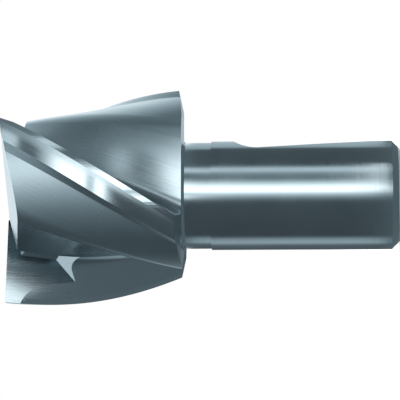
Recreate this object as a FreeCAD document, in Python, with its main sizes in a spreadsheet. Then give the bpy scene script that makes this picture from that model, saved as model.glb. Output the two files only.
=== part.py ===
import FreeCAD, Part
import math
import os

import Sketcher

# Three-flute counterbore with a straight shank.
# The tool axis is Z. The flat end of the shank stands on Z = 0 and the cutting end is at the top.
# The teeth cut anticlockwise as seen from above, with right-hand helical flutes.
# Lengths are in millimetres and angles in degrees.

doc = FreeCAD.newDocument("Counterbore")

# Driving dimensions.
SIZES = {
    # Shank
    "shank_diameter": 19.05,
    "shank_length": 33.0,
    "shank_bevel": 1.5,
    "centre_mouth_diameter": 4.5,
    "centre_drill_diameter": 1.8,
    "centre_drill_depth": 4.6,
    "centre_cone_angle": 60.0,
    # Clamping flat, ground into the shank at a slight slope
    "flat_start": 4.2,
    "flat_deepest": 24.6,
    "flat_depth": 1.1,
    "flat_wheel_radius": 8.0,
    # Neck between shank and head
    "neck_diameter": 18.6,
    "neck_length": 5.0,
    "neck_cone": 0.5,
    # Head
    "head_diameter": 38.1,
    "head_length": 31.0,
    "rear_bevel_height": 0.85,
    "rear_bevel_width": 3.9,
    # Section of one flute and of the tooth back ahead of it
    "tooth_count": 3,
    "tooth_angle": -43.0,
    "helix_angle": 32.0,
    "rake_angle": 4.0,
    "margin_width": 1.1,
    "land_width": 4.7,
    "land_drop": 0.4,
    "heel_step_width": 1.3,
    "heel_step_drop": 1.2,
    "back_radius": 20.0,
    "nose_radius": 6.0,
    "gullet_width": 8.1,
    "gullet_slope": 20.0,
    "core_diameter": 20.04,
    "root_radius": 3.2,
    # End teeth
    "primary_relief": 8.0,
    "primary_width": 3.0,
    "secondary_relief": 17.5,
    "end_dish": 0.5,
    "gash_rake": 3.0,
    "gash_tilt": 24.0,
    "gash_setback": 0.45,
    "gash_width": 2.6,
    "gash_wall_slope": 45.0,
    "gash_throat": 9.0,
    "gash_inner_depth": 0.6,
    "gash_outer_depth": 2.7,
    "gash_length": 9.2,
    # Hole for an interchangeable pilot
    "pilot_bore_diameter": 7.94,
    "pilot_bore_depth": 28.0,
    "pilot_bore_bevel": 0.4,
    "drill_point_angle": 118.0,
}

# How far a cutting profile reaches past the metal that it removes.
OVERSHOOT = 1.5

sheet = doc.addObject("Spreadsheet::Sheet", "Sizes")
for row, (alias, value) in enumerate(SIZES.items(), start=1):
    sheet.set("A%d" % row, alias.replace("_", " "))
    sheet.set("B%d" % row, repr(value))
    sheet.setAlias("B%d" % row, alias)
doc.recompute()

# The same sizes as expressions, for the sketches.
SHANK_R = "Sizes.shank_diameter / 2"
NECK_R = "Sizes.neck_diameter / 2"
HEAD_R = "Sizes.head_diameter / 2"
BORE_R = "Sizes.pilot_bore_diameter / 2"
REAR_Z = "(Sizes.shank_length + Sizes.neck_length)"
FRONT_Z = "(Sizes.shank_length + Sizes.neck_length + Sizes.head_length)"
LEAD = "(pi * Sizes.head_diameter / tan(Sizes.helix_angle))"
PITCH_ANGLE = "(360 / Sizes.tooth_count)"

# And as numbers, for the first position of each sketch.
shank_r = SIZES["shank_diameter"] / 2
neck_r = SIZES["neck_diameter"] / 2
head_r = SIZES["head_diameter"] / 2
bore_r = SIZES["pilot_bore_diameter"] / 2
rear_z = SIZES["shank_length"] + SIZES["neck_length"]
front_z = rear_z + SIZES["head_length"]

body = doc.addObject("PartDesign::Body", "Cutter")
body.Label = "counterbore"
body.Placement = FreeCAD.Placement()

ORIGIN = (-1, 1)


def origin_feature(role):
    """Return one of the body's own origin planes or axes."""
    return next(f for f in body.Origin.OriginFeatures if f.Role == role)


def new_sketch(name, role):
    sketch = body.newObject("Sketcher::SketchObject", name)
    sketch.AttachmentSupport = [(origin_feature(role), "")]
    sketch.MapMode = "FlatFace"
    return sketch


def place(feature, x="0", y="0", z="0", yaw="0", pitch="0", roll="0"):
    """Bind the place and turn of an attached sketch or plane to expressions."""
    feature.setExpression("AttachmentOffset.Base.x", x)
    feature.setExpression("AttachmentOffset.Base.y", y)
    feature.setExpression("AttachmentOffset.Base.z", z)
    turn = "create(<<rotation>>; %s; %s; %s)" % (yaw, pitch, roll)
    feature.setExpression("AttachmentOffset.Rotation", turn)


def point(x, y):
    return FreeCAD.Vector(x, y, 0)


def polar(radius, angle):
    return point(radius * math.cos(math.radians(angle)), radius * math.sin(math.radians(angle)))


def line(sketch, start, end, construction=False):
    return sketch.addGeometry(Part.LineSegment(start, end), construction)


def arc(sketch, centre, radius, start_angle, end_angle):
    """Add an arc that runs anticlockwise between two angles in degrees."""
    circle = Part.Circle(centre, FreeCAD.Vector(0, 0, 1), radius)
    return sketch.addGeometry(
        Part.ArcOfCircle(circle, math.radians(start_angle), math.radians(end_angle)))


def outline(sketch, points):
    """Add a closed outline of straight lines and return the numbers of its lines."""
    lines = [line(sketch, a, b) for a, b in zip(points, points[1:] + points[:1])]
    for first, second in zip(lines, lines[1:] + lines[:1]):
        join(sketch, (first, 2), (second, 1))
    return lines


def join(sketch, first, second):
    sketch.addConstraint(Sketcher.Constraint("Coincident", *first, *second))


def tangent(sketch, first, second):
    sketch.addConstraint(Sketcher.Constraint("Tangent", *first, *second))


def level(sketch, *numbers):
    for number in numbers:
        sketch.addConstraint(Sketcher.Constraint("Horizontal", number))


def upright(sketch, *numbers):
    for number in numbers:
        sketch.addConstraint(Sketcher.Constraint("Vertical", number))


def bind(sketch, kind, elements, value, expression):
    """Add a dimension and bind it to an expression."""
    index = sketch.addConstraint(Sketcher.Constraint(kind, *elements, value))
    name = "size_%d" % index
    sketch.renameConstraint(index, name)
    sketch.setExpression("Constraints." + name, expression)


def across(sketch, vertex, value, expression):
    """Fix the distance of a vertex from the sketch's origin along its first axis."""
    bind(sketch, "DistanceX", (*ORIGIN, *vertex), value, expression)


def along(sketch, vertex, value, expression):
    """Fix the distance of a vertex from the sketch's origin along its second axis."""
    bind(sketch, "DistanceY", (*ORIGIN, *vertex), value, expression)


def turned(kind, name, sketch):
    """Turn a half section once round the tool axis."""
    feature = body.newObject("PartDesign::" + kind, name)
    feature.Profile = sketch
    feature.ReferenceAxis = (origin_feature("Z_Axis"), [""])
    feature.Angle = 360
    return feature


def repeated(name, originals):
    """Repeat features at every tooth."""
    pattern = body.newObject("PartDesign::PolarPattern", name)
    pattern.Originals = originals
    pattern.Axis = (origin_feature("Z_Axis"), [""])
    pattern.Angle = 360
    pattern.setExpression("Occurrences", "Sizes.tooth_count")
    body.Tip = pattern
    return pattern


def blank():
    """The turned blank: bevelled shank, neck that ends in a cone, and head with a bevelled back."""
    sketch = new_sketch("BlankSection", "XZ_Plane")
    bevel = SIZES["shank_bevel"]
    flare = SIZES["neck_cone"]
    bevel_width = SIZES["rear_bevel_width"]
    bevel_height = SIZES["rear_bevel_height"]
    shank_z = SIZES["shank_length"]

    end_face = line(sketch, point(0, 0), point(shank_r - bevel, 0))
    end_bevel = line(sketch, point(shank_r - bevel, 0), point(shank_r, bevel))
    shank = line(sketch, point(shank_r, bevel), point(shank_r, shank_z))
    step = line(sketch, point(shank_r, shank_z), point(neck_r, shank_z))
    neck = line(sketch, point(neck_r, shank_z), point(neck_r, rear_z - flare))
    cone = line(sketch, point(neck_r, rear_z - flare), point(neck_r + flare, rear_z))
    rear = line(sketch, point(neck_r + flare, rear_z), point(head_r - bevel_width, rear_z))
    rear_bevel = line(sketch, point(head_r - bevel_width, rear_z),
                      point(head_r, rear_z + bevel_height))
    head = line(sketch, point(head_r, rear_z + bevel_height), point(head_r, front_z))
    front = line(sketch, point(head_r, front_z), point(0, front_z))
    axis = line(sketch, point(0, front_z), point(0, 0))

    join(sketch, (end_face, 1), ORIGIN)
    for first, second in ((end_face, end_bevel), (end_bevel, shank), (shank, step), (step, neck),
                          (neck, cone), (cone, rear), (rear, rear_bevel), (rear_bevel, head),
                          (head, front), (front, axis), (axis, end_face)):
        join(sketch, (first, 2), (second, 1))
    level(sketch, end_face, step, rear, front)
    upright(sketch, shank, neck, head, axis)

    across(sketch, (shank, 1), shank_r, SHANK_R)
    across(sketch, (neck, 1), neck_r, NECK_R)
    across(sketch, (head, 1), head_r, HEAD_R)
    bind(sketch, "DistanceX", (end_bevel, 1, end_bevel, 2), bevel, "Sizes.shank_bevel")
    bind(sketch, "DistanceY", (end_bevel, 1, end_bevel, 2), bevel, "Sizes.shank_bevel")
    bind(sketch, "DistanceX", (rear_bevel, 1, rear_bevel, 2), bevel_width,
         "Sizes.rear_bevel_width")
    bind(sketch, "DistanceY", (rear_bevel, 1, rear_bevel, 2), bevel_height,
         "Sizes.rear_bevel_height")
    along(sketch, (shank, 2), shank_z, "Sizes.shank_length")
    along(sketch, (rear, 1), rear_z, REAR_Z)
    along(sketch, (head, 2), front_z, FRONT_Z)
    bind(sketch, "DistanceX", (cone, 1, cone, 2), flare, "Sizes.neck_cone")
    bind(sketch, "DistanceY", (cone, 1, cone, 2), flare, "Sizes.neck_cone")
    turned("Revolution", "Blank", sketch)


def flutes():
    """One flute, cut by moving its section along the helix, and repeated for each tooth.

    The section is drawn in the frame of the tooth that it cuts. The first axis points at that
    tooth's cutting edge, and the tooth ahead, whose back the section also cuts, is one pitch on.
    From the edge it runs down the rake face, round the root, along the floor of the gullet, over
    the round nose, and up the back of the tooth ahead to its heel and its land.
    """
    sketch = new_sketch("FluteSection", "XY_Plane")
    pitch_angle = 360 / SIZES["tooth_count"]
    margin_angle = pitch_angle - math.degrees(SIZES["margin_width"] / head_r)
    heel_angle = pitch_angle - math.degrees(SIZES["land_width"] / head_r)
    foot_angle = heel_angle - math.degrees(SIZES["heel_step_width"] / head_r)
    outer_r = head_r + OVERSHOOT
    rake = math.radians(SIZES["rake_angle"])
    slope = math.radians(SIZES["gullet_slope"])
    back_r = SIZES["back_radius"]
    nose_r = SIZES["nose_radius"]
    root_r = SIZES["root_radius"]
    core_r = SIZES["core_diameter"] / 2
    gullet = SIZES["gullet_width"]

    # The rake face, as a line through the edge that leans forward by the rake.
    edge = point(head_r, 0)
    rake_direction = point(math.cos(rake), math.sin(rake))
    outer_reach = math.sqrt(outer_r ** 2 - (head_r * math.sin(rake)) ** 2)
    outer = edge + rake_direction * (outer_reach - head_r * math.cos(rake))

    # The floor touches the core circle at the gullet's slope. The root touches the rake face and
    # the floor.
    floor_out = point(math.cos(slope), math.sin(slope))
    floor_run = point(-math.sin(slope), math.cos(slope))
    core_touch = floor_out * core_r
    root_run = (root_r - head_r * math.sin(rake) - (core_r + root_r) * math.sin(slope - rake))
    root_centre = (core_touch + floor_out * root_r
                   + floor_run * (root_run / math.cos(slope - rake)))
    root_start = root_centre + point(math.sin(rake), -math.cos(rake)) * root_r
    root_end = root_centre - floor_out * root_r

    # The nose touches the floor where the gullet ends. The back touches the nose and ends at the
    # foot of the step below the heel.
    floor_end = core_touch + floor_run * gullet
    nose_centre = floor_end - floor_out * nose_r
    margin = polar(head_r, margin_angle)
    heel = polar(head_r - SIZES["land_drop"], heel_angle)
    foot = polar(head_r - SIZES["land_drop"] - SIZES["heel_step_drop"], foot_angle)
    chord = foot - nose_centre
    span = chord.Length
    along_span = ((back_r - nose_r) ** 2 - back_r ** 2 + span ** 2) / (2 * span)
    off_span = math.sqrt((back_r - nose_r) ** 2 - along_span ** 2)
    unit = chord * (1 / span)
    back_centre = nose_centre + unit * along_span + point(-unit.y, unit.x) * off_span
    contact = nose_centre - back_centre
    contact_angle = math.degrees(math.atan2(contact.y, contact.x))
    swing = foot - back_centre
    foot_swing = math.degrees(math.atan2(swing.y, swing.x))

    face = line(sketch, root_start, outer)
    root = arc(sketch, root_centre, root_r, SIZES["gullet_slope"] + 180,
               SIZES["rake_angle"] + 270)
    floor = line(sketch, root_end, floor_end)
    nose = arc(sketch, nose_centre, nose_r, SIZES["gullet_slope"], contact_angle)
    back = arc(sketch, back_centre, back_r, contact_angle, foot_swing)
    step = line(sketch, foot, heel)
    land = line(sketch, heel, margin)
    lead_out = line(sketch, margin, polar(outer_r, margin_angle))
    rim = arc(sketch, point(0, 0), outer_r, math.degrees(math.atan2(outer.y, outer.x)),
              margin_angle)
    edge_spoke, core_spoke, foot_spoke, heel_spoke, margin_spoke = (
        line(sketch, point(0, 0), end, True) for end in (edge, core_touch, foot, heel, margin))

    tangent(sketch, (face, 1), (root, 2))
    tangent(sketch, (root, 1), (floor, 1))
    tangent(sketch, (floor, 2), (nose, 1))
    tangent(sketch, (nose, 2), (back, 1))
    join(sketch, (back, 2), (step, 1))
    join(sketch, (step, 2), (land, 1))
    join(sketch, (land, 2), (lead_out, 1))
    join(sketch, (lead_out, 2), (rim, 2))
    join(sketch, (rim, 1), (face, 2))
    join(sketch, (rim, 3), ORIGIN)
    for spoke in (edge_spoke, core_spoke, foot_spoke, heel_spoke, margin_spoke):
        join(sketch, (spoke, 1), ORIGIN)
    join(sketch, (foot_spoke, 2), (step, 1))
    join(sketch, (heel_spoke, 2), (land, 1))
    join(sketch, (margin_spoke, 2), (land, 2))
    level(sketch, edge_spoke)
    sketch.addConstraint(Sketcher.Constraint("PointOnObject", edge_spoke, 2, face))
    sketch.addConstraint(Sketcher.Constraint("PointOnObject", core_spoke, 2, floor))
    sketch.addConstraint(Sketcher.Constraint("Perpendicular", core_spoke, floor))

    bind(sketch, "Distance", (edge_spoke,), head_r, HEAD_R)
    bind(sketch, "Angle", (face,), rake, "Sizes.rake_angle * 1 deg")
    bind(sketch, "Radius", (root,), root_r, "Sizes.root_radius")
    bind(sketch, "Distance", (core_spoke,), core_r, "Sizes.core_diameter / 2")
    bind(sketch, "Angle", (core_spoke,), slope, "Sizes.gullet_slope * 1 deg")
    bind(sketch, "Distance", (core_spoke, 2, floor, 2), gullet, "Sizes.gullet_width")
    bind(sketch, "Radius", (nose,), nose_r, "Sizes.nose_radius")
    bind(sketch, "Radius", (back,), back_r, "Sizes.back_radius")
    bind(sketch, "Radius", (rim,), outer_r, HEAD_R + " + %g" % OVERSHOOT)
    for spoke, radius, drop in (
            (foot_spoke, foot.Length, "Sizes.land_drop - Sizes.heel_step_drop"),
            (heel_spoke, heel.Length, "Sizes.land_drop"),
            (margin_spoke, head_r, "0")):
        bind(sketch, "Distance", (spoke,), radius, "%s - %s" % (HEAD_R, drop))
    for spoke, angle, width in (
            (foot_spoke, foot_angle, "(Sizes.land_width + Sizes.heel_step_width)"),
            (heel_spoke, heel_angle, "Sizes.land_width"),
            (margin_spoke, margin_angle, "Sizes.margin_width"),
            (lead_out, margin_angle, "Sizes.margin_width")):
        bind(sketch, "Angle", (spoke,), math.radians(angle),
             "(%s - %s / (%s) * 180 / pi) * 1 deg" % (PITCH_ANGLE, width, HEAD_R))

    # The section starts a little above the cutting end and travels down to the head's back.
    place(sketch, z="%s + %g" % (FRONT_Z, OVERSHOOT),
          yaw="Sizes.tooth_angle + %g * 360 / %s" % (OVERSHOOT, LEAD))
    flute = body.newObject("PartDesign::SubtractiveHelix", "Flute")
    flute.Profile = sketch
    flute.ReferenceAxis = (origin_feature("Z_Axis"), [""])
    flute.Mode = "pitch-height-angle"
    flute.Reversed = True
    flute.setExpression("Pitch", LEAD)
    flute.setExpression("Height", "Sizes.head_length + %g" % OVERSHOOT)
    repeated("Flutes", [flute])


def end_teeth():
    """Each tooth's end: an end face relieved in two steps, and a flat gash that forms its lip.

    Both are drawn in a frame whose corner is the tooth's outer corner, set back a little into
    the tooth, and whose first axis runs outwards along the lip.
    """
    corner = {
        "x": "%s * cos(Sizes.tooth_angle) + Sizes.gash_setback * sin(Sizes.tooth_angle)" % HEAD_R,
        "y": "%s * sin(Sizes.tooth_angle) - Sizes.gash_setback * cos(Sizes.tooth_angle)" % HEAD_R,
        "yaw": "Sizes.tooth_angle + Sizes.gash_rake",
    }

    # The end face of a tooth reaches from its own lip back to the lip of the tooth behind it.
    sector = new_sketch("EndSector", "XY_Plane")
    place(sector, z="%s + %g" % (FRONT_Z, OVERSHOOT), **corner)
    pitch_angle = 2 * math.pi / SIZES["tooth_count"]
    lip_angle = math.radians(SIZES["gash_rake"])
    setback = SIZES["gash_setback"]
    axis_x = setback * math.sin(lip_angle) - head_r * math.cos(lip_angle)
    axis_y = setback * math.cos(lip_angle) + head_r * math.sin(lip_angle)
    meeting = point(axis_x - axis_y * math.tan(pitch_angle / 2), 0)
    reach = 2 * SIZES["head_diameter"]
    behind = meeting + point(math.cos(pitch_angle), -math.sin(pitch_angle)) * reach
    own_lip, rim, far_side, next_lip = outline(
        sector, [meeting, point(OVERSHOOT, 0), point(OVERSHOOT, behind.y), behind])
    level(sector, own_lip, far_side)
    upright(sector, rim)
    sector.addConstraint(Sketcher.Constraint("PointOnObject", own_lip, 1, -1))
    across(sector, (own_lip, 1), meeting.x,
           "Sizes.gash_setback * sin(Sizes.gash_rake) - %s * cos(Sizes.gash_rake)"
           " - (Sizes.gash_setback * cos(Sizes.gash_rake) + %s * sin(Sizes.gash_rake))"
           " * tan(180 / Sizes.tooth_count)" % (HEAD_R, HEAD_R))
    across(sector, (own_lip, 2), OVERSHOOT, "%g" % OVERSHOOT)
    bind(sector, "Angle", (next_lip,), math.pi - pitch_angle,
         "(180 - %s) * 1 deg" % PITCH_ANGLE)
    bind(sector, "Distance", (next_lip,), reach, "2 * Sizes.head_diameter")

    # The primary relief is a narrow strip behind the lip, and the secondary falls away faster.
    reliefs = []
    for name, angle, back_by in (("PrimaryRelief", "Sizes.primary_relief", "0"),
                                 ("SecondaryRelief", "Sizes.secondary_relief",
                                  "Sizes.primary_width")):
        plane = body.newObject("PartDesign::Plane", name + "Plane")
        plane.AttachmentSupport = [(origin_feature("XY_Plane"), "")]
        plane.MapMode = "FlatFace"
        place(plane, x="%s + %s * sin(%s)" % (corner["x"], back_by, corner["yaw"]),
              y="%s - %s * cos(%s)" % (corner["y"], back_by, corner["yaw"]),
              z="%s - %s * tan(Sizes.primary_relief) / cos(Sizes.end_dish)" % (FRONT_Z, back_by),
              yaw=corner["yaw"], pitch="-Sizes.end_dish", roll=angle)
        doc.recompute()
        relief = body.newObject("PartDesign::Pocket", name)
        relief.Profile = sector
        relief.Type = "UpToFace"
        relief.UpToFace = (plane, [""])
        reliefs.append(relief)

    # The gash plane leans forward with the flute, and its outline is the path of the wheel.
    gash = new_sketch("GashOutline", "XY_Plane")
    place(gash, z=FRONT_Z, roll="90 - Sizes.gash_tilt", **corner)
    inner_x = -head_r
    throat_x = -SIZES["gash_throat"]
    length = SIZES["gash_length"]
    exit_reach = SIZES["gash_throat"] + OVERSHOOT
    points = [
        point(inner_x, OVERSHOOT),
        point(inner_x, -SIZES["gash_inner_depth"]),
        point(throat_x, -SIZES["gash_outer_depth"]),
        point(throat_x, -length),
        point(OVERSHOOT, -length - exit_reach),
        point(OVERSHOOT, OVERSHOOT),
    ]
    inner, floor, wall, wheel_exit, outer, mouth = outline(gash, points)
    level(gash, mouth)
    upright(gash, inner, wall, outer)
    across(gash, (inner, 1), inner_x, "-" + HEAD_R)
    across(gash, (wall, 1), throat_x, "-Sizes.gash_throat")
    across(gash, (outer, 1), OVERSHOOT, "%g" % OVERSHOOT)
    along(gash, (mouth, 1), OVERSHOOT, "%g" % OVERSHOOT)
    along(gash, (inner, 2), -SIZES["gash_inner_depth"], "-Sizes.gash_inner_depth")
    along(gash, (wall, 1), -SIZES["gash_outer_depth"], "-Sizes.gash_outer_depth")
    along(gash, (wall, 2), -length, "-Sizes.gash_length")
    along(gash, (outer, 1), -length - exit_reach,
          "-Sizes.gash_length - Sizes.gash_throat - %g" % OVERSHOOT)
    notch = body.newObject("PartDesign::Pocket", "Gash")
    notch.Profile = gash
    notch.Type = "Length"
    notch.setExpression("Length", "Sizes.gash_width")
    notch.setExpression("TaperAngle", "Sizes.gash_wall_slope")
    repeated("EndTeeth", reliefs + [notch])


def pilot_bore():
    """The blind hole in the cutting end, with a bevelled mouth and the drill's point."""
    sketch = new_sketch("PilotBoreSection", "XZ_Plane")
    bevel = SIZES["pilot_bore_bevel"]
    bottom = front_z - SIZES["pilot_bore_depth"]
    half_point = math.radians(SIZES["drill_point_angle"] / 2)
    point_z = bottom - bore_r / math.tan(half_point)
    axis, cone, wall, mouth, face = outline(sketch, [
        point(0, front_z), point(0, point_z), point(bore_r, bottom),
        point(bore_r, front_z - bevel), point(bore_r + bevel, front_z)])
    upright(sketch, axis, wall)
    level(sketch, face)
    sketch.addConstraint(Sketcher.Constraint("PointOnObject", axis, 1, -2))
    along(sketch, (axis, 1), front_z, FRONT_Z)
    along(sketch, (wall, 1), bottom, FRONT_Z + " - Sizes.pilot_bore_depth")
    across(sketch, (wall, 1), bore_r, BORE_R)
    bind(sketch, "Angle", (cone,), math.pi / 2 - half_point,
         "(90 - Sizes.drill_point_angle / 2) * 1 deg")
    bind(sketch, "DistanceX", (mouth, 1, mouth, 2), bevel, "Sizes.pilot_bore_bevel")
    bind(sketch, "DistanceY", (mouth, 1, mouth, 2), bevel, "Sizes.pilot_bore_bevel")
    turned("Groove", "PilotBore", sketch)


def centre_hole():
    """The drilled and countersunk centre in the shank end, on which the tool was ground."""
    sketch = new_sketch("CentreHoleSection", "XZ_Plane")
    mouth_r = SIZES["centre_mouth_diameter"] / 2
    drill_r = SIZES["centre_drill_diameter"] / 2
    depth = SIZES["centre_drill_depth"]
    half_cone = math.radians(SIZES["centre_cone_angle"] / 2)
    cone_depth = (mouth_r - drill_r) / math.tan(half_cone)
    face, cone, wall, tip, axis = outline(sketch, [
        point(0, 0), point(mouth_r, 0), point(drill_r, cone_depth), point(drill_r, depth),
        point(0, depth)])
    join(sketch, (face, 1), ORIGIN)
    level(sketch, face, tip)
    upright(sketch, wall, axis)
    across(sketch, (face, 2), mouth_r, "Sizes.centre_mouth_diameter / 2")
    across(sketch, (wall, 1), drill_r, "Sizes.centre_drill_diameter / 2")
    along(sketch, (wall, 2), depth, "Sizes.centre_drill_depth")
    bind(sketch, "Angle", (cone,), math.pi / 2 + half_cone,
         "(90 + Sizes.centre_cone_angle / 2) * 1 deg")
    turned("Groove", "CentreHole", sketch)


def clamping_flat():
    """The flat that the holder's screw bears on.

    It deepens towards the head, and there the wheel that ground it leaves a round end.
    """
    sketch = new_sketch("FlatSection", "XZ_Plane")
    start_z = SIZES["flat_start"]
    deepest_z = SIZES["flat_deepest"]
    depth = SIZES["flat_depth"]
    wheel_r = SIZES["flat_wheel_radius"]
    outer_x = shank_r + OVERSHOOT
    run = math.hypot(deepest_z - start_z, depth)
    across_slope = point((deepest_z - start_z) / run, depth / run)
    wheel_centre = point(shank_r - depth, deepest_z) + across_slope * wheel_r
    exit_swing = math.acos((wheel_centre.x - outer_x) / wheel_r)
    exit_point = wheel_centre + point(-math.cos(exit_swing), math.sin(exit_swing)) * wheel_r
    start_swing = math.degrees(math.atan2(-across_slope.y, -across_slope.x)) % 360

    slope = line(sketch, point(shank_r, start_z), point(shank_r - depth, deepest_z))
    wheel = arc(sketch, wheel_centre, wheel_r, 180 - math.degrees(exit_swing), start_swing)
    side = line(sketch, exit_point, point(outer_x, start_z))
    close = line(sketch, point(outer_x, start_z), point(shank_r, start_z))
    tangent(sketch, (slope, 2), (wheel, 2))
    join(sketch, (wheel, 1), (side, 1))
    join(sketch, (side, 2), (close, 1))
    join(sketch, (close, 2), (slope, 1))
    upright(sketch, side)
    level(sketch, close)
    across(sketch, (slope, 1), shank_r, SHANK_R)
    along(sketch, (slope, 1), start_z, "Sizes.flat_start")
    across(sketch, (slope, 2), shank_r - depth, SHANK_R + " - Sizes.flat_depth")
    along(sketch, (slope, 2), deepest_z, "Sizes.flat_deepest")
    across(sketch, (side, 2), outer_x, SHANK_R + " + %g" % OVERSHOOT)
    bind(sketch, "Radius", (wheel,), wheel_r, "Sizes.flat_wheel_radius")
    flat = body.newObject("PartDesign::Pocket", "ClampingFlat")
    flat.Profile = sketch
    flat.Type = "ThroughAll"
    flat.Midplane = True


blank()
flutes()
end_teeth()
pilot_bore()
centre_hole()
clamping_flat()
doc.recompute()

failed = [obj.Label for obj in doc.Objects if {"Invalid", "Error"} & set(obj.State)]
if failed:
    raise RuntimeError("objects that did not build: " + ", ".join(failed))
pieces = [body]
for piece in pieces:
    shape = piece.Shape
    if shape.isNull() or not shape.isValid() or len(shape.Solids) != 1:
        raise RuntimeError("not one valid solid: " + piece.Label)

os.makedirs("parts", exist_ok=True)
for piece in pieces:
    piece.Shape.exportStep("parts/%s.step" % piece.Label)
    print(piece.Label, "volume", round(piece.Shape.Volume, 1))
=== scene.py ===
import math

import bmesh
import bpy
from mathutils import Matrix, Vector


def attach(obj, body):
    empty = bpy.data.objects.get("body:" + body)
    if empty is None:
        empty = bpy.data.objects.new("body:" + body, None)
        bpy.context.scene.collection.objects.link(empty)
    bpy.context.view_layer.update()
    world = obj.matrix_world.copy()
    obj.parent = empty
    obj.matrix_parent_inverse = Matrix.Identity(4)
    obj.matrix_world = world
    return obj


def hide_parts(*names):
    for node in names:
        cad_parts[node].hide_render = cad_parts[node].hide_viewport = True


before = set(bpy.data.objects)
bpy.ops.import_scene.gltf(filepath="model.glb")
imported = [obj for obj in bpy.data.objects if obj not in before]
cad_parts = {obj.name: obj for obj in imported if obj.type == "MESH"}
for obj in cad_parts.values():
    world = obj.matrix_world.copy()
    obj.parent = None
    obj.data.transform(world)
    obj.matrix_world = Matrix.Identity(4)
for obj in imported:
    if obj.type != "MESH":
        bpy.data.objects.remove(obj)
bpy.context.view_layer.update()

# Shank and neck.
# The blank is one bar of high-speed steel, turned, hardened and then ground between centres.
# The shank is a plain cylinder with a bevelled end, and a shorter, slightly thinner neck joins
# it to the head.
MM = 0.001
SHANK_R = 9.525 * MM
SHANK_TOP = 33 * MM
SHANK_BEVEL = 1.5 * MM
NECK_R = 9.3 * MM
NECK_CONE = 0.5 * MM
REAR = 38 * MM
CENTRE_MOUTH_R = 2.25 * MM
CENTRE_DRILL_R = 0.9 * MM
CENTRE_DEPTH = 4.6 * MM
ROUND_STEPS = 240


def mesh_object(name, points, faces):
    """A mesh with its faces turned outwards."""
    mesh = bpy.data.meshes.new(name)
    mesh.from_pydata(points, [], faces)
    shell = bmesh.new()
    shell.from_mesh(mesh)
    bmesh.ops.recalc_face_normals(shell, faces=shell.faces)
    shell.to_mesh(mesh)
    shell.free()
    thing = bpy.data.objects.new(name, mesh)
    bpy.context.scene.collection.objects.link(thing)
    return thing


def turned(name, outline):
    """A closed solid of revolution round Z. Its outline of (radius, height) runs from the axis
    back to the axis."""
    points = [(0, 0, outline[0][1])]
    for radius, height in outline[1:-1]:
        for step in range(ROUND_STEPS):
            turn = 2 * math.pi * step / ROUND_STEPS
            points.append((radius * math.cos(turn), radius * math.sin(turn), height))
    points.append((0, 0, outline[-1][1]))
    rings = len(outline) - 2
    last = len(points) - 1
    faces = []
    for step in range(ROUND_STEPS):
        after = (step + 1) % ROUND_STEPS
        faces.append((0, 1 + after, 1 + step))
        for ring in range(rings - 1):
            low = 1 + ring * ROUND_STEPS
            high = low + ROUND_STEPS
            faces.append((low + step, low + after, high + after, high + step))
        top = 1 + (rings - 1) * ROUND_STEPS
        faces.append((top + step, top + after, last))
    return mesh_object(name, points, faces)


centre_cone = (CENTRE_MOUTH_R - CENTRE_DRILL_R) / math.tan(math.radians(30))
shank = turned("shank", [
    (0, CENTRE_DEPTH), (CENTRE_DRILL_R, CENTRE_DEPTH), (CENTRE_DRILL_R, centre_cone),
    (CENTRE_MOUTH_R, 0), (SHANK_R - SHANK_BEVEL, 0), (SHANK_R, SHANK_BEVEL),
    (SHANK_R, SHANK_TOP), (NECK_R, SHANK_TOP), (NECK_R, REAR - NECK_CONE),
    (NECK_R + NECK_CONE, REAR), (NECK_R, REAR + 2 * NECK_CONE), (0, REAR + 2 * NECK_CONE)])

# Clamping flat.
# The holder's screw bears on it. It is ground into the shank at a slight slope, deepest towards
# the head, and ends there in the round mark of the grinding wheel.
FLAT_START = 4.2 * MM
FLAT_DEEPEST = 24.6 * MM
FLAT_DEPTH = 1.1 * MM
FLAT_WHEEL_R = 8 * MM
FLAT_CUT_REACH = 12 * MM
PAST = 1.5 * MM


def prism(name, outline, low, high, place):
    """A prism over an outline of (u, v) points, with place(u, v, w) giving each corner."""
    count = len(outline)
    points = [place(u, v, w) for w in (low, high) for u, v in outline]
    faces = [tuple(range(count)), tuple(range(count, 2 * count))]
    faces += [(i, (i + 1) % count, count + (i + 1) % count, count + i) for i in range(count)]
    return mesh_object(name, points, faces)


def bow(centre, radius, start, end, steps):
    """Points on an arc between two angles in degrees, both ends among them."""
    turns = [math.radians(start + (end - start) * step / steps) for step in range(steps + 1)]
    return [centre + Vector((math.cos(turn), math.sin(turn))) * radius for turn in turns]


slope = Vector((FLAT_DEEPEST - FLAT_START, FLAT_DEPTH)).normalized()
wheel = Vector((SHANK_R - FLAT_DEPTH, FLAT_DEEPEST)) + slope * FLAT_WHEEL_R
touch = math.degrees(math.atan2(-slope.y, -slope.x)) % 360
leave = 180 - math.degrees(math.acos((wheel.x - SHANK_R - PAST) / FLAT_WHEEL_R))
flat_outline = [Vector((SHANK_R + PAST, FLAT_START)), Vector((SHANK_R, FLAT_START))]
flat_outline += bow(wheel, FLAT_WHEEL_R, touch, leave, 24)
flat_cut = prism("flat_cut", flat_outline, -FLAT_CUT_REACH, FLAT_CUT_REACH,
                 lambda u, v, w: (u, w, v))

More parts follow.
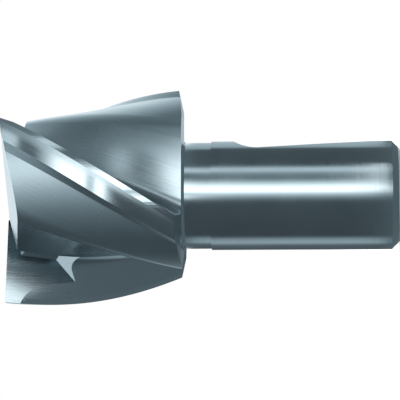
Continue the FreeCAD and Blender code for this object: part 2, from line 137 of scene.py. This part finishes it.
# Head with its helical teeth.
# Three flutes are milled and ground into the head along a right-hand helix. Each has a hooked
# rake face, a round root, a flat gullet and a rounded nose, and then climbs the back of the next
# tooth to a small step, a relieved land and a narrow margin left on the full diameter.
HEAD_R = 19.05 * MM
FRONT = 69 * MM
REAR_BEVEL_WIDTH = 3.9 * MM
REAR_BEVEL_HEIGHT = 0.85 * MM
TEETH = 3
TOOTH_ANGLE = -43
HELIX_ANGLE = 32
RAKE = math.radians(4)
MARGIN_WIDTH = 1.1 * MM
LAND_WIDTH = 4.7 * MM
LAND_DROP = 0.4 * MM
STEP_WIDTH = 1.3 * MM
STEP_DROP = 1.2 * MM
BACK_R = 20 * MM
NOSE_R = 6 * MM
CORE_R = 10.02 * MM
FLOOR_SLOPE = math.radians(20)
FLOOR_RUN = 8.1 * MM
ROOT_R = 3.2 * MM
TWIST = math.tan(math.radians(HELIX_ANGLE)) / HEAD_R


def polar(radius, turn):
    return Vector((math.cos(math.radians(turn)), math.sin(math.radians(turn)))) * radius


def straight(start, end, steps):
    """Points from start to just before end."""
    return [start.lerp(end, step / steps) for step in range(steps)]


def bearing(arrow):
    return math.degrees(math.atan2(arrow.y, arrow.x))


def flute_section():
    """The outline that one flute takes out of the head, at the cutting end. It is worked out
    with the cutting edge on the first axis, and then turned to the tooth's place."""
    pitch = 360 / TEETH
    margin_turn = pitch - math.degrees(MARGIN_WIDTH / HEAD_R)
    heel_turn = pitch - math.degrees(LAND_WIDTH / HEAD_R)
    foot_turn = heel_turn - math.degrees(STEP_WIDTH / HEAD_R)
    lean = Vector((math.cos(RAKE), math.sin(RAKE)))
    edge = Vector((HEAD_R, 0))
    floor_out = Vector((math.cos(FLOOR_SLOPE), math.sin(FLOOR_SLOPE)))
    floor_run = Vector((-floor_out.y, floor_out.x))
    root_centre = (floor_out * (CORE_R + ROOT_R) + floor_run * (
        (ROOT_R - HEAD_R * math.sin(RAKE)
         - (CORE_R + ROOT_R) * math.sin(FLOOR_SLOPE - RAKE)) / math.cos(FLOOR_SLOPE - RAKE)))
    nose_centre = floor_out * (CORE_R - NOSE_R) + floor_run * FLOOR_RUN
    foot = polar(HEAD_R - LAND_DROP - STEP_DROP, foot_turn)
    chord = foot - nose_centre
    reach = ((BACK_R - NOSE_R) ** 2 - BACK_R ** 2 + chord.length ** 2) / (2 * chord.length)
    aside = math.sqrt((BACK_R - NOSE_R) ** 2 - reach ** 2)
    unit = chord.normalized()
    back_centre = nose_centre + unit * reach + Vector((-unit.y, unit.x)) * aside
    contact = bearing(nose_centre - back_centre)
    foot_swing = bearing(foot - back_centre)
    heel = polar(HEAD_R - LAND_DROP, heel_turn)
    margin = polar(HEAD_R, margin_turn)
    outer_r = HEAD_R + PAST
    outer = edge + lean * (math.sqrt(outer_r ** 2 - (HEAD_R * math.sin(RAKE)) ** 2)
                           - HEAD_R * math.cos(RAKE))

    outline = [outer]
    outline += straight(edge, root_centre + Vector((lean.y, -lean.x)) * ROOT_R, 12)
    outline += bow(root_centre, ROOT_R, 270 + math.degrees(RAKE),
                   180 + math.degrees(FLOOR_SLOPE), 30)
    outline += straight(root_centre - floor_out * ROOT_R, nose_centre + floor_out * NOSE_R, 8)[1:]
    outline += bow(nose_centre, NOSE_R, math.degrees(FLOOR_SLOPE), contact, 22)
    outline += bow(back_centre, BACK_R, contact, foot_swing, 14)[1:-1]
    outline += straight(foot, heel, 3) + straight(heel, margin, 6) + [margin]
    outline += bow(Vector((0, 0)), outer_r, margin_turn, bearing(outer), 40)[:-1]
    return [polar(spot.length, bearing(spot) + TOOTH_ANGLE) for spot in outline]


def curve_object(name, outline):
    """A closed run of straight pieces in the XY plane."""
    curve = bpy.data.curves.new(name, "CURVE")
    curve.dimensions = "3D"
    run = curve.splines.new("POLY")
    run.points.add(len(outline) - 1)
    for spot, place in zip(run.points, outline):
        spot.co = (place.x, place.y, 0, 1)
    run.use_cyclic_u = True
    thing = bpy.data.objects.new(name, curve)
    bpy.context.scene.collection.objects.link(thing)
    return thing


head_blank = turned("head_blank", [
    (0, REAR), (HEAD_R - REAR_BEVEL_WIDTH, REAR), (HEAD_R, REAR + REAR_BEVEL_HEIGHT),
    (HEAD_R, FRONT), (0, FRONT)])

# End teeth and pilot bore.
# The end of each tooth is ground in two relief planes behind its lip, and a flat gash with a
# sloped foot forms the lip and opens it to the bore. The bore is drilled and reamed for an
# interchangeable pilot.
PRIMARY_RELIEF = 8
PRIMARY_WIDTH = 3 * MM
SECONDARY_RELIEF = 17.5
END_DISH = 0.5
GASH_RAKE = 3
GASH_TILT = 24
GASH_SETBACK = 0.45 * MM
GASH_WIDTH = 2.6 * MM
GASH_WALL_SLOPE = 45
GASH_THROAT = 9 * MM
GASH_INNER = 0.6 * MM
GASH_OUTER = 2.7 * MM
GASH_LENGTH = 9.2 * MM
BORE_R = 3.97 * MM
BORE_DEPTH = 28 * MM
BORE_BEVEL = 0.4 * MM
DRILL_POINT = 118
CUT_TOP = FRONT + 6 * MM

corner = polar(HEAD_R, TOOTH_ANGLE) + Vector((
    math.sin(math.radians(TOOTH_ANGLE)), -math.cos(math.radians(TOOTH_ANGLE)))) * GASH_SETBACK
lip_out = polar(1, TOOTH_ANGLE + GASH_RAKE)
lip_left = Vector((-lip_out.y, lip_out.x))


def relief_cut(name, slope_angle, back_by):
    """The wedge above one relief plane, between this tooth's lip and the next one's."""
    half = math.pi / TEETH
    meeting = Vector((-corner.dot(lip_out) + corner.dot(lip_left) * math.tan(half), 0))
    behind = meeting + Vector((math.cos(2 * half), -math.sin(2 * half))) * 4 * HEAD_R
    outline = [meeting, Vector((PAST, 0)), Vector((PAST, behind.y)), behind]
    dish = math.radians(END_DISH)
    fall = math.tan(math.radians(slope_angle)) / math.cos(dish)
    start = FRONT - back_by * math.tan(math.radians(PRIMARY_RELIEF)) / math.cos(dish)

    def place(u, v, w):
        flat = corner + lip_out * u + lip_left * v
        low = start + u * math.tan(dish) + (v + back_by) * fall
        return (flat.x, flat.y, w if w else low)

    return prism(name, outline, 0, CUT_TOP, place)


def widened(outline, by):
    """The outline with each of its sides moved outwards."""
    count = len(outline)
    moved = []
    for i, spot in enumerate(outline):
        before = (spot - outline[i - 1]).normalized()
        after = (outline[(i + 1) % count] - spot).normalized()
        out_before = Vector((before.y, -before.x))
        out_after = Vector((after.y, -after.x))
        middle = (out_before + out_after).normalized()
        moved.append(spot + middle * (by / middle.dot(out_before)))
    return moved


def gash_cut():
    """What the gashing wheel takes out in front of the lip, along its tilted plane."""
    tilt = math.radians(GASH_TILT)
    up = lip_left.to_3d() * math.sin(tilt) + Vector((0, 0, math.cos(tilt)))
    forward = lip_left.to_3d() * math.cos(tilt) - Vector((0, 0, math.sin(tilt)))
    base = corner.to_3d() + Vector((0, 0, FRONT))
    near = [Vector(spot) for spot in (
        (-HEAD_R, PAST), (-HEAD_R, -GASH_INNER), (-GASH_THROAT, -GASH_OUTER),
        (-GASH_THROAT, -GASH_LENGTH), (PAST, -GASH_LENGTH - GASH_THROAT - PAST), (PAST, PAST))]
    far = widened(near, GASH_WIDTH * math.tan(math.radians(GASH_WALL_SLOPE)))
    count = len(near)
    points = [base + lip_out.to_3d() * u + up * v for u, v in near]
    points += [base + lip_out.to_3d() * u + up * v + forward * GASH_WIDTH for u, v in far]
    faces = [tuple(range(count)), tuple(range(count, 2 * count))]
    faces += [(i, (i + 1) % count, count + (i + 1) % count, count + i) for i in range(count)]
    return mesh_object("gash_cut", points, faces)


bore_cut = turned("bore_cut", [
    (0, FRONT - BORE_DEPTH - BORE_R / math.tan(math.radians(DRILL_POINT / 2))),
    (BORE_R, FRONT - BORE_DEPTH), (BORE_R, FRONT - BORE_BEVEL), (BORE_R + BORE_BEVEL, FRONT),
    (BORE_R + BORE_BEVEL, CUT_TOP), (0, CUT_TOP)])

# High-speed steel, ground bright and left bare.
# Cylindrical grinding leaves very fine rings round the shank and neck, the flutes carry the long
# marks of the wheel that followed the helix, and the lands and end faces fine straight ones. The
# real marks are about 0.02 mm apart. They are drawn 0.3 mm apart, so that they show.
MARK_SPACING = 0.3 * MM
MARK_STRENGTH = 0.35
CLOUD_SIZE = 9 * MM


def tone(code, alpha=1.0):
    """An sRGB hex colour as linear values."""
    parts = [int(code[i:i + 2], 16) / 255 for i in (1, 3, 5)]
    return tuple(p / 12.92 if p <= 0.04045 else ((p + 0.055) / 1.055) ** 2.4
                 for p in parts) + (alpha,)


def add(tree, kind, feeds=(), **settings):
    """Add a node with its settings. Feeds map a socket's name or number to a value or an
    output."""
    node = tree.nodes.new(kind)
    for name, value in settings.items():
        setattr(node, name, value)
    for key, value in dict(feeds).items():
        if isinstance(value, bpy.types.NodeSocket):
            tree.links.new(value, node.inputs[key])
        else:
            node.inputs[key].default_value = value
    return node


def ground_steel(name, colour, roughness, stretch, twist=0.0, depth=0.02):
    """Bare ground steel. Its marks run along the directions in which stretch is small."""
    steel = bpy.data.materials.new(name)
    steel.use_nodes = True
    tree = steel.node_tree
    tree.nodes.clear()
    place = add(tree, "ShaderNodeTexCoord").outputs["Object"]
    height = add(tree, "ShaderNodeSeparateXYZ", {0: place}).outputs["Z"]
    turn = add(tree, "ShaderNodeMath", {0: height, 1: twist}, operation="MULTIPLY")
    flat = add(tree, "ShaderNodeVectorRotate", {"Vector": place, "Angle": turn.outputs[0]},
               rotation_type="Z_AXIS")
    scaled = add(tree, "ShaderNodeVectorMath", {0: flat.outputs[0], 1: stretch},
                 operation="MULTIPLY")
    marks = add(tree, "ShaderNodeTexNoise", {
        "Vector": scaled.outputs[0], "Scale": 1 / MARK_SPACING, "Detail": 3.0,
        "Roughness": 0.6}).outputs[0]
    cloud = add(tree, "ShaderNodeTexNoise", {
        "Vector": place, "Scale": 1 / CLOUD_SIZE, "Detail": 2.0, "Roughness": 0.5}).outputs[0]
    both = add(tree, "ShaderNodeMath", {0: marks, 1: cloud}, operation="ADD").outputs[0]
    rough = add(tree, "ShaderNodeMapRange", {
        "Value": both, "From Min": 0.6, "From Max": 1.4,
        "To Min": roughness - 0.05, "To Max": roughness + 0.06}).outputs[0]
    shade = add(tree, "ShaderNodeMix", {
        "Factor": cloud, "A": tone(colour[0]), "B": tone(colour[1])}, data_type="RGBA")
    bump = add(tree, "ShaderNodeBump", {
        "Height": marks, "Strength": MARK_STRENGTH, "Distance": depth * MM}).outputs[0]
    shader = add(tree, "ShaderNodeBsdfPrincipled", {
        "Base Color": shade.outputs["Result"], "Metallic": 1.0, "Roughness": rough,
        "Normal": bump})
    add(tree, "ShaderNodeOutputMaterial", {"Surface": shader.outputs[0]})
    return steel


shank_steel = ground_steel(
    "cylindrically_ground_high_speed_steel", ("#B1BFC4", "#BECBCF"), 0.15, (0.03, 0.03, 1.0),
    depth=0.008)
flute_steel = ground_steel(
    "flute_ground_high_speed_steel", ("#ABBABF", "#BAC7CC"), 0.24, (1.0, 1.0, 0.03), -TWIST)
land_steel = ground_steel(
    "relief_ground_high_speed_steel", ("#B4C2C7", "#C2CED2"), 0.13, (1.0, 1.0, 0.05), -TWIST,
    depth=0.01)
end_steel = ground_steel(
    "end_ground_high_speed_steel", ("#B1BFC4", "#BFCBD0"), 0.22, (0.05, 1.0, 1.0))

# The whole cutter.
# A tree cuts the flutes out of the head, one tooth after another, as the grinder indexes the
# blank. It joins the head to the shank, and then grinds the end teeth and opens the bore. Sharp
# edges stay sharp, and all else is smooth.
SHARP_EDGE = 7
FLUTE_STEPS = 100
WELD_WITHIN = 0.002 * MM
LAND_INNER_R = 18.3 * MM
END_FACE_TILT = 0.6


def cutter_tree():
    tree = bpy.data.node_groups.new("fluted_cutter", "GeometryNodeTree")
    face = tree.interface
    face.new_socket("Geometry", in_out="OUTPUT", socket_type="NodeSocketGeometry")
    face.new_socket("Geometry", in_out="INPUT", socket_type="NodeSocketGeometry")
    for name, kind in (("Teeth", "Int"), ("Helix turn", "Float"), ("Helix start", "Float"),
                       ("Flute bottom", "Float"), ("Flute top", "Float"), ("Steps", "Int"),
                       ("Sharp edge", "Float"), ("Head", "Object"), ("Shank", "Object"),
                       ("Primary relief", "Object"), ("Secondary relief", "Object"),
                       ("Gash", "Object"), ("Bore", "Object"), ("Flat", "Object"),
                       ("Head back", "Float"), ("Land radius", "Float"),
                       ("Shank steel", "Material"), ("Flute steel", "Material"),
                       ("Land steel", "Material"), ("End steel", "Material")):
        face.new_socket(name, in_out="INPUT", socket_type="NodeSocket" + kind)
    given = add(tree, "NodeGroupInput").outputs

    def solid(name):
        return add(tree, "GeometryNodeObjectInfo", {"Object": given[name]}).outputs["Geometry"]

    def combine(first, second, operation):
        """Join or cut. A union takes all its solids in the second socket."""
        node = add(tree, "GeometryNodeMeshBoolean", {1: second},
                   operation=operation, solver="MANIFOLD")
        tree.links.new(first, node.inputs[1 if operation == "UNION" else 0])
        return node.outputs[0]

    def turned_round(geometry, angle):
        spun = add(tree, "ShaderNodeCombineXYZ", {"Z": angle}).outputs[0]
        spun = add(tree, "FunctionNodeEulerToRotation", {0: spun}).outputs[0]
        return add(tree, "GeometryNodeTransform", {
            "Geometry": geometry, "Rotation": spun}).outputs[0]

    def at_each_tooth(start, cutters):
        """Cut with each cutter, once for every tooth."""
        begin = tree.nodes.new("GeometryNodeRepeatInput")
        end = tree.nodes.new("GeometryNodeRepeatOutput")
        begin.pair_with_output(end)
        tree.links.new(given["Teeth"], begin.inputs["Iterations"])
        tree.links.new(start, begin.inputs["Geometry"])
        share = add(tree, "ShaderNodeMath", {0: 2 * math.pi, 1: given["Teeth"]},
                    operation="DIVIDE").outputs[0]
        angle = add(tree, "ShaderNodeMath", {0: begin.outputs["Iteration"], 1: share},
                    operation="MULTIPLY").outputs[0]
        work = begin.outputs["Geometry"]
        for cutter in cutters:
            work = combine(work, turned_round(cutter, angle), "DIFFERENCE")
        tree.links.new(work, end.inputs["Geometry"])
        return end.outputs["Geometry"]

    # The section runs up a straight line and is then twisted to the helix.
    low = add(tree, "ShaderNodeCombineXYZ", {"Z": given["Flute bottom"]}).outputs[0]
    high = add(tree, "ShaderNodeCombineXYZ", {"Z": given["Flute top"]}).outputs[0]
    rail = add(tree, "GeometryNodeCurvePrimitiveLine", {"Start": low, "End": high}).outputs[0]
    rail = add(tree, "GeometryNodeResampleCurve", {
        "Curve": rail, "Count": given["Steps"]}).outputs[0]
    bar = add(tree, "GeometryNodeCurveToMesh", {
        "Curve": rail, "Profile Curve": given["Geometry"], "Fill Caps": True}).outputs[0]
    place = add(tree, "GeometryNodeInputPosition").outputs[0]
    height = add(tree, "ShaderNodeSeparateXYZ", {0: place}).outputs["Z"]
    above = add(tree, "ShaderNodeMath", {0: height, 1: given["Helix start"]},
                operation="SUBTRACT").outputs[0]
    swing = add(tree, "ShaderNodeMath", {0: above, 1: given["Helix turn"]},
                operation="MULTIPLY").outputs[0]
    twisted = add(tree, "ShaderNodeVectorRotate", {"Vector": place, "Angle": swing},
                  rotation_type="Z_AXIS").outputs[0]
    flute = add(tree, "GeometryNodeSetPosition", {
        "Geometry": bar, "Position": twisted}).outputs[0]
    flute = add(tree, "GeometryNodeFlipFaces", {"Mesh": flute}).outputs[0]

    head = at_each_tooth(solid("Head"), [flute])
    tool = combine(head, solid("Shank"), "UNION")
    tool = at_each_tooth(tool, [solid("Primary relief"), solid("Secondary relief"),
                                solid("Gash")])
    tool = combine(tool, solid("Bore"), "DIFFERENCE")
    tool = combine(tool, solid("Flat"), "DIFFERENCE")
    tool = add(tree, "GeometryNodeMergeByDistance", {
        "Geometry": tool, "Distance": WELD_WITHIN}).outputs[0]

    tool = add(tree, "GeometryNodeSetShadeSmooth", {
        "Geometry": tool, "Shade Smooth": True}, domain="FACE").outputs[0]
    bend = add(tree, "GeometryNodeInputMeshEdgeAngle").outputs["Unsigned Angle"]
    hard = add(tree, "FunctionNodeCompare", {0: bend, 1: given["Sharp edge"]},
               data_type="FLOAT", operation="GREATER_THAN").outputs[0]
    tool = add(tree, "GeometryNodeSetShadeSmooth", {
        "Geometry": tool, "Selection": hard, "Shade Smooth": False}, domain="EDGE").outputs[0]

    # Each surface takes the steel finish of the wheel that ground it.
    normal = add(tree, "GeometryNodeInputNormal").outputs[0]
    tilt = add(tree, "ShaderNodeSeparateXYZ", {0: normal}).outputs["Z"]
    flat = add(tree, "ShaderNodeVectorMath", {0: place, 1: (1, 1, 0)},
               operation="MULTIPLY").outputs[0]
    radius = add(tree, "ShaderNodeVectorMath", {0: flat}, operation="LENGTH").outputs["Value"]
    tool = add(tree, "GeometryNodeRealizeInstances", {"Geometry": tool}).outputs[0]
    tool = add(tree, "GeometryNodeSetMaterial", {
        "Geometry": tool, "Material": given["Flute steel"]}).outputs[0]
    for value, limit, test, steel in (
            (radius, given["Land radius"], "GREATER_THAN", "Land steel"),
            (tilt, END_FACE_TILT, "GREATER_THAN", "End steel"),
            (height, given["Head back"], "LESS_THAN", "Shank steel")):
        chosen = add(tree, "FunctionNodeCompare", {0: value, 1: limit},
                     data_type="FLOAT", operation=test).outputs[0]
        tool = add(tree, "GeometryNodeSetMaterial", {
            "Geometry": tool, "Selection": chosen, "Material": given[steel]}).outputs[0]
    add(tree, "NodeGroupOutput", {0: tool})
    return tree


section = curve_object("flute_section", flute_section())
primary_cut = relief_cut("primary_cut", PRIMARY_RELIEF, 0)
secondary_cut = relief_cut("secondary_cut", SECONDARY_RELIEF, PRIMARY_WIDTH)
gash = gash_cut()
grinding = section.modifiers.new("grinding", "NODES")
grinding.node_group = cutter_tree()
sockets = {item.name: item.identifier for item in grinding.node_group.interface.items_tree
           if item.in_out == "INPUT"}
for name, value in {
        "Teeth": TEETH, "Helix turn": TWIST, "Helix start": FRONT,
        "Flute bottom": REAR - PAST, "Flute top": FRONT + PAST, "Steps": FLUTE_STEPS,
        "Sharp edge": math.radians(SHARP_EDGE), "Head": head_blank, "Shank": shank,
        "Primary relief": primary_cut, "Secondary relief": secondary_cut, "Gash": gash,
        "Bore": bore_cut, "Flat": flat_cut, "Head back": REAR, "Land radius": LAND_INNER_R,
        "Shank steel": shank_steel, "Flute steel": flute_steel, "Land steel": land_steel,
        "End steel": end_steel}.items():
    grinding[sockets[name]] = value
finished = bpy.data.meshes.new_from_object(
    section.evaluated_get(bpy.context.evaluated_depsgraph_get()))
for spare in (section, shank, flat_cut, head_blank, primary_cut, secondary_cut, gash, bore_cut):
    bpy.data.objects.remove(spare)
cutter = bpy.data.objects.new("fluted_cutter", finished)
bpy.context.scene.collection.objects.link(cutter)
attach(cutter, "root")
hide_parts("counterbore")

# Studio.
# A pale floor, a white room behind it and two soft lamps. As in a shot of polished metal, the
# tool stands inside screens and cards whose light changes smoothly round it. Only its
# reflections show them.
NEAR_REACH = 0.1
SCREEN_REACH = 0.6
SHANK_SCREEN_TOP = 41 * MM
LAND_SCREEN_FOOT = 52 * MM
LAND_SCREEN_TOP = 215 * MM
BACK_SCREEN_TOP = 330 * MM
ROOM_TOP = 0.7
ROOM_HALF = 0.7
FLOOR_HALF = 3
FLOOR_LIFT = 0.3
ROOM_LEVEL = 0.75
SCREEN_FULL = 2.5
WHITE_FROM = 2
LAMP_AIM = Vector((0, 0, 0.03))
SOFT_LIGHT = Vector(tone("#DAF3FF")[:3])
FULL_LIGHT = Vector(tone("#FCFEFF")[:3])


def panel(name, points, paint, glossy_only=True):
    """A flat or bent stage panel from rows of points."""
    mesh = bpy.data.meshes.new(name)
    wide = len(points[0])
    spots = [spot for row in points for spot in row]
    faces = [(r * wide + c, r * wide + c + 1, (r + 1) * wide + c + 1, (r + 1) * wide + c)
             for r in range(len(points) - 1) for c in range(wide - 1)]
    mesh.from_pydata(spots, [], faces)
    mesh.materials.append(paint)
    thing = bpy.data.objects.new(name, mesh)
    bpy.context.scene.collection.objects.link(thing)
    if glossy_only:
        thing.visible_camera = False
        thing.visible_diffuse = False
        thing.visible_shadow = False
        thing.visible_transmission = False
        thing.visible_volume_scatter = False
    return thing


def stage_paint(name):
    paint = bpy.data.materials.new(name)
    paint.use_nodes = True
    paint.node_tree.nodes.clear()
    return paint, paint.node_tree


def light_of(strength):
    """Weak light from a screen is bluer than strong light."""
    share = min(1.0, strength / WHITE_FROM)
    return SOFT_LIGHT.lerp(FULL_LIGHT, share) * strength


def graded_light(name, stops):
    """Light that changes with the bearing from the camera's side. Stops give it in degrees."""
    paint, tree = stage_paint(name)
    spot = add(tree, "ShaderNodeTexCoord").outputs["Object"]
    spot = add(tree, "ShaderNodeSeparateXYZ", {0: spot}).outputs
    front = add(tree, "ShaderNodeMath", {0: spot["Y"], 1: -1.0}, operation="MULTIPLY").outputs[0]
    turn = add(tree, "ShaderNodeMath", {0: spot["X"], 1: front}, operation="ARCTAN2").outputs[0]
    turn = add(tree, "ShaderNodeMapRange", {
        "Value": turn, "From Min": -math.pi, "From Max": math.pi}).outputs[0]
    ramp = add(tree, "ShaderNodeValToRGB", {0: turn})
    marks = ramp.color_ramp.elements
    while len(marks) > 1:
        marks.remove(marks[0])
    for i, (from_front, strength) in enumerate(stops):
        place = (from_front + 180) / 360
        mark = marks[0] if i == 0 else marks.new(place)
        mark.position = place
        mark.color = (*(light_of(strength) / SCREEN_FULL), 1.0)
    shader = add(tree, "ShaderNodeEmission", {"Color": ramp.outputs[0], "Strength": SCREEN_FULL})
    add(tree, "ShaderNodeOutputMaterial", {"Surface": shader.outputs[0]})
    return paint


def card(name, strength, points):
    """A flat card of even light."""
    paint, tree = stage_paint(name + "_light")
    colour = (*light_of(strength), 1.0)
    shader = add(tree, "ShaderNodeEmission", {"Color": colour, "Strength": 1.0})
    add(tree, "ShaderNodeOutputMaterial", {"Surface": shader.outputs[0]})
    return panel(name, points, paint)


ALL_ROUND = (-180, 180, 120)


def bent(start, end, steps, *edges):
    """Rows of points between two bearings from the camera's side. Each edge gives one row, as
    (reach, height)."""
    turns = [math.radians(start + (end - start) * step / steps) for step in range(steps + 1)]
    return [[(reach * math.sin(t), -reach * math.cos(t), height) for t in turns]
            for reach, height in edges]


def square(half, height):
    return [[(-half, -half, height), (half, -half, height)],
            [(-half, half, height), (half, half, height)]]


shank_light = graded_light("shank_light", (
    (-180, 0.3), (-152, 0.12), (-127, 0.2), (-114, 0.65), (-103, 0.5), (-92, 0.1), (-14, 0.12),
    (-7.5, 0.22), (-1, 0.6), (4, 1.15), (9, 2.4), (15, 2.4), (19, 1.9), (25, 1.1), (31, 0.5),
    (35, 0.28), (42, 0.35), (47, 0.5), (51, 0.95), (57, 0.95), (62, 0.25), (67, 0.12),
    (114, 0.14), (122, 0.65), (180, 0.8)))
land_light = graded_light("land_light", (
    (-180, 1.3), (-160, 0.5), (-140, 0.22), (-120, 0.12), (-12, 0.12), (-7, 0.7), (-4, 2.4),
    (0, 2.4), (2, 1.0), (6, 1.0), (8, 2.4), (24, 2.3), (32, 0.9), (40, 0.2), (50, 0.2),
    (53, 1.1), (62, 1.1), (66, 0.3), (110, 0.25), (130, 0.7), (150, 1.2), (180, 1.3)))
back_light = graded_light("back_light", (
    (-180, 1.3), (-160, 0.5), (-140, 0.2), (-120, 0.12), (-95, 0.12), (-70, 0.22), (-50, 0.38),
    (-30, 0.8), (-12, 1.5), (12, 1.6), (30, 1.05), (45, 0.6), (65, 0.3), (80, 0.2),
    (100, 0.24), (125, 0.6), (150, 1.0), (180, 1.3)))
high_light = graded_light("high_light", (
    (-180, 1.3), (-160, 0.5), (-140, 0.2), (-120, 0.12), (-95, 0.12), (-70, 0.22), (-50, 0.4),
    (-30, 0.85), (-12, 1.5), (4, 1.4), (16, 0.7), (28, 0.38), (45, 0.28), (60, 0.24), (80, 0.18),
    (100, 0.24), (125, 0.6), (150, 1.0), (180, 1.3)))
for name, paint, reach, low, high in (
        ("shank_screen", shank_light, NEAR_REACH, -1 * MM, SHANK_SCREEN_TOP),
        ("land_screen", land_light, SCREEN_REACH, LAND_SCREEN_FOOT, LAND_SCREEN_TOP),
        ("back_screen", back_light, SCREEN_REACH, LAND_SCREEN_TOP, BACK_SCREEN_TOP),
        ("high_screen", high_light, SCREEN_REACH, BACK_SCREEN_TOP, ROOM_TOP)):
    panel(name, bent(*ALL_ROUND, (reach, low), (reach, high)), paint)
card("room_top", 0.5, square(ROOM_HALF, ROOM_TOP))
card("dark_ground", 0.2, square(ROOM_HALF, 0.4 * MM))
card("dark_front", 0.24, bent(*ALL_ROUND, (SCREEN_REACH, 0), (SCREEN_REACH, LAND_SCREEN_FOOT)))
card("ground_card", 2.5, bent(12, 66, 9, (52 * MM, 1.2 * MM), (98 * MM, 1.2 * MM)))

floor_paint, tree = stage_paint("pale_studio_floor")
ray = add(tree, "ShaderNodeLightPath").outputs["Is Camera Ray"]
lift = add(tree, "ShaderNodeMath", {0: ray, 1: FLOOR_LIFT}, operation="MULTIPLY").outputs[0]
shown = add(tree, "ShaderNodeEmission", {"Color": (1, 1, 1, 1), "Strength": lift})
matt = add(tree, "ShaderNodeBsdfPrincipled", {"Base Color": tone("#F4F4F2"), "Roughness": 0.9})
both = add(tree, "ShaderNodeAddShader", {0: shown.outputs[0], 1: matt.outputs[0]})
add(tree, "ShaderNodeOutputMaterial", {"Surface": both.outputs[0]})
panel("floor", square(FLOOR_HALF, 0), floor_paint, False)

world = bpy.data.worlds.new("white_room")
bpy.context.scene.world = world
world.use_nodes = True
sky = world.node_tree
sky.nodes.clear()
ray = add(sky, "ShaderNodeLightPath").outputs
seen = add(sky, "ShaderNodeMath", {0: ray["Is Camera Ray"], 1: ray["Is Glossy Ray"]},
           operation="MAXIMUM").outputs[0]
seen = add(sky, "ShaderNodeMath", {0: seen, 1: ray["Is Transmission Ray"]},
           operation="MAXIMUM").outputs[0]
level = add(sky, "ShaderNodeMapRange", {
    "Value": seen, "To Min": ROOM_LEVEL, "To Max": 1.0}).outputs[0]
room = add(sky, "ShaderNodeBackground", {"Color": (1, 1, 1, 1), "Strength": level}).outputs[0]
add(sky, "ShaderNodeOutputWorld", {"Surface": room})

for name, place, wide, power in (("front_lamp", (0.5, -0.7, 0.8), 0.6, 9.0),
                                 ("side_lamp", (0.7, 0.4, 0.7), 0.6, 5.0)):
    lamp = bpy.data.lights.new(name, "AREA")
    lamp.size = wide
    lamp.energy = power
    thing = bpy.data.objects.new(name, lamp)
    thing.location = place
    aim = LAMP_AIM - Vector(place)
    thing.rotation_euler = aim.to_track_quat("-Z", "Y").to_euler()
    thing.visible_camera = False
    thing.visible_glossy = False
    bpy.context.scene.collection.objects.link(thing)

# Camera.
# It looks at the tool from the side with its picture turned a quarter, so that the cutting end
# is at the left, as in the photograph.
CAMERA_PLACE = Vector((-0.72, -509, 15)) * MM
CAMERA_AIM = Vector((-0.72, 0, 35.1)) * MM
CAMERA_ROLL = 0.3
SENSOR_WIDTH = 36
LENS_LENGTH = 261
NEAR_CLIP = 0.01
look = (CAMERA_AIM - CAMERA_PLACE).normalized()
right = look.cross(Vector((1, 0, 0))).normalized()
upward = right.cross(look)
swing = math.radians(CAMERA_ROLL)
right, upward = (right * math.cos(swing) - upward * math.sin(swing),
                 upward * math.cos(swing) + right * math.sin(swing))
lens = bpy.data.cameras.new("camera")
lens.sensor_width = SENSOR_WIDTH
lens.lens = LENS_LENGTH
lens.clip_start = NEAR_CLIP
camera = bpy.data.objects.new("camera", lens)
bpy.context.scene.collection.objects.link(camera)
turn = camera.matrix_world.to_3x3()
for column, axis in enumerate((right, upward, -look)):
    for row in range(3):
        turn[row][column] = axis[row]
camera.matrix_world = turn.to_4x4()
camera.location = CAMERA_PLACE
bpy.context.scene.camera = camera
bpy.context.scene.view_settings.view_transform = "Standard"
